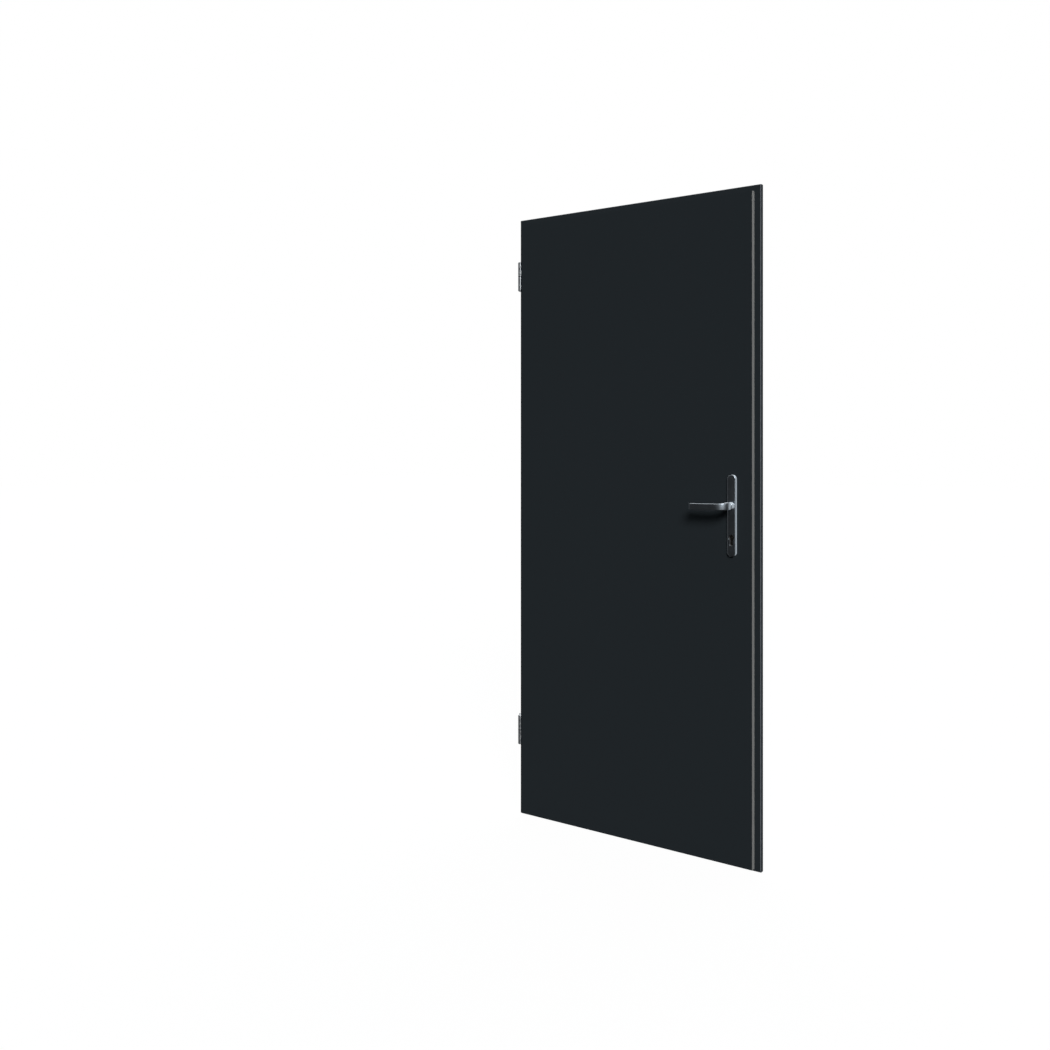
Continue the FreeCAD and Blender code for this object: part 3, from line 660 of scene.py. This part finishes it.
class DOOR_OT_build_plates(Operator):
    """Build both handle plates with soft rims"""

    bl_idname = "door.build_plates"
    bl_label = "Build handle plates"

    def execute(self, context):
        metal, hole_shade_finish = satin_metal(context.scene.door_metal), hole_shade_metal()
        for side, face, way in SIDES:
            bm = bmesh.new()
            plate_mesh(bm, context.scene.door_furniture, on_face(LEVER_AXIS, face, way))
            piece = mesh_object(f"{side}_plate_shell", bm)
            stand_for(piece, metal, "handle_alloy", "leaf", f"{side}_handle_plate")
            # Painted shade: the bore of the collar and the walls of the keyhole take a dark metal
            piece.data.materials.append(hole_shade_finish)
            # The collar and the lever above it mirror the studio and not the plate
            piece.visible_glossy = False
        return {"FINISHED"}


def lever_rings(sizes):
    """Sections of the lever from its shank to the tip: points of u, v and height out of the face."""
    stand = abs(PUSH_FACE - LEVER_LOW.y) - sizes.neck_thick / 2
    reach = LEVER_AXIS.x - LEVER_LOW.x
    neck_start = COLLAR_TOP + sizes.reveal
    neck_end = stand - sizes.bend
    half_w, half_t, grip_t = sizes.neck_thick / 2, sizes.neck_tall / 2, sizes.grip_tall / 2
    corner, least_corner = sizes.corner, 0.9 * MM
    corner_steps, bend_steps, grip_steps, tip_steps = 7, 20, 10, 7
    sections = []

    def upright(points, out):
        sections.append([(u, v, out) for u, v in points])

    def across(along, inset):
        shrink = (along - sizes.sweep) * math.tan(sizes.taper) + inset
        radius = max(corner - shrink, least_corner)
        points = bar_outline(half_w - shrink, grip_t - shrink, radius, corner_steps)
        sections.append([(-along, v - sizes.settle, stand + w) for w, v in points])

    # Round shank, turned so that its points lie beside those of the neck
    count = len(bar_outline(half_w, half_t, corner, corner_steps))
    round_end = circle(sizes.shank / 2, count, start=math.pi / 4 / (corner_steps + 1) / 2)
    for out in (sizes.shank_start, neck_start - 0.5 * sizes.reveal):
        upright(round_end, out)
    for inset_mm, rise_mm in NECK_FOOT:
        inset = inset_mm * MM
        foot = bar_outline(half_w - inset, half_t - inset, corner - inset, corner_steps)
        upright(foot, neck_start + rise_mm * MM)

    # Oval bend, in which the section comes down to the grip's height and place
    for i in range(bend_steps + 1):
        turn = math.pi / 2 * i / bend_steps
        gone = math.sin(turn) ** 2
        ring = []
        for w, v in bar_outline(half_w, half_t + (grip_t - half_t) * gone, corner, corner_steps):
            run, rise = (sizes.sweep + w) * math.cos(turn), (sizes.bend + w) * math.sin(turn)
            ring.append((run - sizes.sweep, v - sizes.settle * gone, neck_end + rise))
        sections.append(ring)

    # Tapering grip and its rounded end
    tip = sizes.tip_round
    for i in range(1, grip_steps + 1):
        across(sizes.sweep + (reach - tip - sizes.sweep) * i / grip_steps, 0.0)
    for i in range(1, tip_steps + 1):
        turn = math.pi / 2 * i / tip_steps
        across(reach - tip + tip * math.sin(turn), tip * (1 - math.cos(turn)))
    return sections


class DOOR_OT_build_levers(Operator):
    """Build both levers as smooth bent bars and finish the spindle between them"""

    bl_idname = "door.build_levers"
    bl_label = "Build levers"

    def execute(self, context):
        metal = bpy.data.materials["satin_metal"]
        sizes = context.scene.door_furniture
        cos, sin = math.cos(sizes.droop), math.sin(sizes.droop)
        sections = [[(u * cos - v * sin, v * cos + u * sin, out) for u, v, out in section]
                    for section in lever_rings(sizes)]
        for side, face, way in SIDES:
            bm = bmesh.new()
            to_frame = on_face(LEVER_AXIS, face, way)
            rings = [add_ring(bm, [to_frame(*point) for point in section]) for section in sections]
            join_rings(bm, rings, closed_start=True, closed_end=True)
            piece = mesh_object(f"{side}_lever_grip", bm)
            stand_for(piece, metal, "handle_alloy", "levers", f"{side}_lever")
        dress(zinc_coat(context.scene.door_metal), "spindle")
        return {"FINISHED"}


class DOOR_OT_finish_lock(Operator):
    """Finish the lock cylinder and its plugs"""

    bl_idname = "door.finish_lock"
    bl_label = "Finish lock"

    def execute(self, context):
        dress(lock_nickel(context.scene.door_metal),
              "lock_cylinder", "inner_cylinder_plug", "outer_cylinder_plug")
        return {"FINISHED"}


def cap_mesh(bm, low, high, way, curl):
    """Turned cap of a hinge pin in a box, with its rounded edge up or down."""
    radius, tall = (high.x - low.x) / 2, high.z - low.z
    seat = low.z if way > 0 else high.z
    facets, curl_steps = 64, 8
    profile = [(radius, 0.0)] + arc((radius - curl, tall - curl), curl, 0, math.pi / 2, curl_steps)
    rings = []
    for reach, rise in profile:
        outline = circle(reach, facets, (HINGE_AXIS.x, HINGE_AXIS.y))
        rings.append(add_ring(bm, [Vector((x, y, seat + way * rise)) for x, y in outline]))
    join_rings(bm, rings, closed_start=True, closed_end=True)


class DOOR_OT_finish_hinges(Operator):
    """Zinc coat on the hinges, with turned caps on their ends"""

    bl_idname = "door.finish_hinges"
    bl_label = "Finish hinges"

    def execute(self, context):
        zinc = bpy.data.materials["zinc_coat"]
        nylon = bearing_plastic()
        curl = context.scene.door_fasteners.cap_round
        for level in LEVELS:
            dress(zinc, f"{level}_frame_part", f"{level}_leaf_part", f"{level}_hinge_pin")
            dress(nylon, f"{level}_hinge_washer")
            for end, way, body in (("bottom", -1, "frame_hinges"), ("top", 1, "leaf")):
                low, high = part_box(f"{level}_hinge_{end}_cap")
                bm = bmesh.new()
                cap_mesh(bm, low, high, way, curl)
                piece = mesh_object(f"{level}_{end}_cap_turned", bm)
                stand_for(piece, zinc, "hinge_steel", body, f"{level}_hinge_{end}_cap")
        return {"FINISHED"}


def cross_outline(span, width):
    """Cross with four equal arms."""
    a, b = span / 2, width / 2
    arm = [(a, -b), (a, b), (b, b)]
    return [(x * c - y * s, x * s + y * c) for c, s in ((1, 0), (0, 1), (-1, 0), (0, -1)) for x, y in arm]


def screw_mesh(bm, sizes, place):
    """Screw with a rounded head and a tapering cross recess, out along the place's Z."""
    def drawn(points, out):
        return add_ring(bm, [place @ Vector((x, y, out)) for x, y in points])

    head, tall, stem = sizes.head / 2, sizes.head_height, sizes.stem / 2
    bevel, curl, curl_steps, recess_end = 0.2 * MM, 0.7 * tall, 6, 0.55
    profile = [(stem, -sizes.stem_length), (stem, 0.0), (head - bevel, 0.0), (head, bevel)]
    profile += arc((head - curl, tall - curl), curl, 0, math.pi / 2, curl_steps)
    rings = [drawn(circle(radius, sizes.facets), out) for radius, out in profile]
    join_rings(bm, rings, closed_start=True)
    recess = [drawn(cross_outline(sizes.recess * scale, sizes.recess_width * scale), out)
              for scale, out in ((1.0, tall), (recess_end, tall - sizes.recess_depth))]
    fill_between(bm, rings[-1], recess[0])
    join_rings(bm, recess, closed_end=True)


class DOOR_OT_drive_screws(Operator):
    """Drive four screws into each hinge plate, on the frame and on the leaf"""

    bl_idname = "door.drive_screws"
    bl_label = "Drive screws"

    def execute(self, context):
        sizes = context.scene.door_fasteners
        zinc = screw_zinc(context.scene.door_metal)
        out_of_frame = Matrix.Rotation(math.pi / 2, 4, "Y")
        out_of_leaf = Matrix.Rotation(-math.pi / 2, 4, "X")
        # Each screw stops at an angle of its own
        first_turn, next_turn = 0.4, 1.1
        frame_screws, leaf_screws = bmesh.new(), bmesh.new()
        for level in LEVELS:
            mount = MOUNTS[f"{level}_frame_screws"]
            middle = Vector(mount["pos_m"])
            half_span = mount["dims"]["spacing_x_mm"] * MM / 2
            half_pitch = mount["dims"]["spacing_y_mm"] * MM / 2
            leaf_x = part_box(f"{level}_leaf_part")[1].x - sizes.leaf_inset
            for i, (side, row) in enumerate(((-1, -1), (1, -1), (1, 1), (-1, 1))):
                across, up = side * half_span, middle.z + row * half_pitch
                turned = Matrix.Rotation(first_turn + next_turn * i, 4, "Z")
                spot = Vector((sizes.frame_plate, middle.y + across, up))
                screw_mesh(frame_screws, sizes, Matrix.Translation(spot) @ out_of_frame @ turned)
                spot = Vector((leaf_x + across, PULL_FACE + sizes.leaf_plate, up))
                screw_mesh(leaf_screws, sizes, Matrix.Translation(spot) @ out_of_leaf @ turned)
        for name, bm, body in (("frame_plate_screws", frame_screws, "frame_hinges"),
                               ("leaf_plate_screws", leaf_screws, "leaf")):
            stand_for(mesh_object(name, bm), zinc, "hinge_steel", body)
        return {"FINISHED"}


def set_screw_mesh(bm, sizes, to_frame):
    """Headless screw with a six-sided socket, a little proud of what it sits in."""
    def drawn(radius, count, rise):
        return add_ring(bm, [to_frame(x, y, rise) for x, y in circle(radius, count)])

    radius, socket = sizes.set_screw / 2, sizes.set_socket / math.sqrt(3)
    proud, bevel, deep, socket_depth = 0.15 * MM, 0.15 * MM, 1.6 * MM, 1.12 * MM
    facets, sides = 36, 6
    body = [drawn(radius, facets, -deep), drawn(radius, facets, 0.0), drawn(radius - bevel, facets, proud)]
    hexagon = [drawn(socket, sides, proud), drawn(socket, sides, -socket_depth)]
    join_rings(bm, body, closed_start=True)
    fill_between(bm, body[-1], hexagon[0])
    join_rings(bm, hexagon, closed_end=True)


def under_neck(furniture, face, way):
    """Map from a drawing on the underside of a lever's neck, with its height below it, to the frame."""
    neck = COLLAR_TOP + furniture.reveal + furniture.neck_thick / 2
    low_z = LEVER_AXIS.z - furniture.neck_tall / 2
    return lambda x, y, rise: Vector((LEVER_AXIS.x + x, face + way * neck + y, low_z - rise))


class DOOR_OT_add_set_screws(Operator):
    """Add the set screws under the necks of the levers"""

    bl_idname = "door.add_set_screws"
    bl_label = "Add set screws"

    def execute(self, context):
        scene = context.scene
        zinc = bpy.data.materials["screw_zinc"]
        for side, face, way in SIDES:
            bm = bmesh.new()
            set_screw_mesh(bm, scene.door_fasteners, under_neck(scene.door_furniture, face, way))
            stand_for(mesh_object(f"{side}_set_screw", bm), zinc, "hinge_steel", "levers")
        return {"FINISHED"}


# Stage


def floor_finish(settings):
    """Pale floor that shows near white and gives back only part of the light."""
    material = bpy.data.materials.new("pale_floor")
    material.use_nodes = True
    tree = material.node_tree
    tree.nodes.clear()
    seen = tree.nodes.new("ShaderNodeLightPath").outputs["Is Camera Ray"]
    power = add_math(tree, "MULTIPLY", seen, settings.floor_glow)
    shade = add_node(tree, "ShaderNodeBsdfDiffuse", Color=(settings.floor_tone,) * 3 + (1,))
    glow = add_node(tree, "ShaderNodeEmission", Strength=power)
    both = tree.nodes.new("ShaderNodeAddShader")
    feed(both.inputs[0], shade.outputs[0])
    feed(both.inputs[1], glow.outputs[0])
    add_node(tree, "ShaderNodeOutputMaterial", Surface=both.outputs[0])
    return material


def patch_of_light(tree, toward, begins, full, power):
    """Brightness of a soft patch of the studio about a direction."""
    dot = tree.nodes.new("ShaderNodeVectorMath")
    dot.operation = "DOT_PRODUCT"
    feed(dot.inputs[0], tree.nodes.new("ShaderNodeTexCoord").outputs["Generated"])
    feed(dot.inputs[1], Vector(toward).normalized())
    fade = add_node(tree, "ShaderNodeMapRange", Value=dot.outputs["Value"],
                    From_Min=begins, From_Max=full, To_Max=power)
    fade.interpolation_type = "SMOOTHSTEP"
    return fade.outputs[0]


def studio_walls(settings):
    """White studio in view, with darker walls and bright patches where it lights the door."""
    world = bpy.data.worlds.new("studio")
    world.use_nodes = True
    tree = world.node_tree
    tree.nodes.clear()
    total = settings.sky_base
    for name, begins, full in PATCHES:
        toward, power = getattr(settings, f"{name}_from"), getattr(settings, f"sky_{name}")
        total = add_math(tree, "ADD", patch_of_light(tree, toward, begins, full, power), total)
    seen = tree.nodes.new("ShaderNodeLightPath").outputs["Is Camera Ray"]
    bright = add_mix(tree, "FLOAT", seen, total, 1.0)
    tone = add_mix(tree, "RGBA", seen, (*settings.light, 1), (1, 1, 1, 1))
    walls = add_node(tree, "ShaderNodeBackground", Color=tone, Strength=bright)
    add_node(tree, "ShaderNodeOutputWorld", Surface=walls.outputs[0])
    return world


def far_light(name, tone, toward, power, spread):
    """Wide soft light from far away."""
    light = bpy.data.lights.new(name, "SUN")
    light.color = tone
    light.energy = power
    light.angle = spread
    lamp = bpy.data.objects.new(name, light)
    lamp.rotation_mode = "QUATERNION"
    lamp.rotation_quaternion = Vector(toward).to_track_quat("Z", "Y")
    bpy.context.scene.collection.objects.link(lamp)


class DOOR_OT_build_stage(Operator):
    """Build the floor, the studio's light and the photograph's camera"""

    bl_idname = "door.build_stage"
    bl_label = "Build stage"

    def execute(self, context):
        scene, settings = context.scene, context.scene.door_studio
        half = settings.floor_size / 2
        height = LEAF_LOW.z - settings.floor_gap
        bm = bmesh.new()
        ring = add_ring(bm, [Vector((x, y, height)) for x, y in
                             ((-half, -half), (half, -half), (half, half), (-half, half))])
        bm.faces.new(ring)
        floor = mesh_object("studio_floor", bm)
        floor.data.materials.append(floor_finish(settings))
        # Metal mirrors the studio below the horizon too
        floor.visible_glossy = False

        scene.world = studio_walls(settings)
        tone = settings.light
        far_light("key_light", tone, settings.key_from, settings.key_power, settings.key_spread)
        far_light("back_light", tone, settings.back_from, settings.back_power, settings.back_spread)

        lens = bpy.data.cameras.new("photo_camera")
        lens.lens = settings.lens
        lens.sensor_width = settings.sensor
        lens.shift_y = settings.rise
        camera = bpy.data.objects.new("photo_camera", lens)
        camera.location = LEVER_AXIS + Vector(settings.eye)
        camera.rotation_euler = (math.pi / 2, 0, settings.heading)
        scene.collection.objects.link(camera)
        scene.camera = camera
        scene.view_settings.view_transform = "Standard"
        return {"FINISHED"}


class VIEW3D_PT_door(Panel):
    """Pieces, finishes and stage of the door"""

    bl_idname = "VIEW3D_PT_door"
    bl_label = "Steel Utility Door"
    bl_space_type = "VIEW_3D"
    bl_region_type = "UI"
    bl_category = "Door"

    def draw(self, context):
        for operator in OPERATORS:
            self.layout.operator(operator.bl_idname)
        for owner in SETTINGS:
            box = self.layout.box()
            box.label(text=owner.bl_rna.name)
            for name in owner.__annotations__:
                box.prop(getattr(context.scene, SETTINGS[owner]), name)


SETTINGS = {
    DoorPaint: "door_paint",
    DoorMetal: "door_metal",
    DoorFurniture: "door_furniture",
    DoorFasteners: "door_fasteners",
    DoorStudio: "door_studio",
}
OPERATORS = (
    DOOR_OT_paint_leaf,
    DOOR_OT_finish_edges,
    DOOR_OT_build_plates,
    DOOR_OT_build_levers,
    DOOR_OT_finish_lock,
    DOOR_OT_finish_hinges,
    DOOR_OT_drive_screws,
    DOOR_OT_add_set_screws,
    DOOR_OT_build_stage,
)


def register():
    """Register every class and hang the settings on the scene."""
    for group, name in SETTINGS.items():
        bpy.utils.register_class(group)
        setattr(bpy.types.Scene, name, PointerProperty(type=group))
    for operator in OPERATORS:
        bpy.utils.register_class(operator)
    bpy.utils.register_class(VIEW3D_PT_door)


def unregister():
    """Take the settings and classes away again."""
    bpy.utils.unregister_class(VIEW3D_PT_door)
    for operator in reversed(OPERATORS):
        bpy.utils.unregister_class(operator)
    for group, name in reversed(SETTINGS.items()):
        delattr(bpy.types.Scene, name)
        bpy.utils.unregister_class(group)


def main():
    """Make the door and its stage."""
    register()
    bpy.ops.door.paint_leaf()
    bpy.ops.door.finish_edges()
    bpy.ops.door.build_plates()
    bpy.ops.door.build_levers()
    bpy.ops.door.finish_lock()
    bpy.ops.door.finish_hinges()
    bpy.ops.door.drive_screws()
    bpy.ops.door.add_set_screws()
    bpy.ops.door.build_stage()


if __name__ == "__main__":
    main()
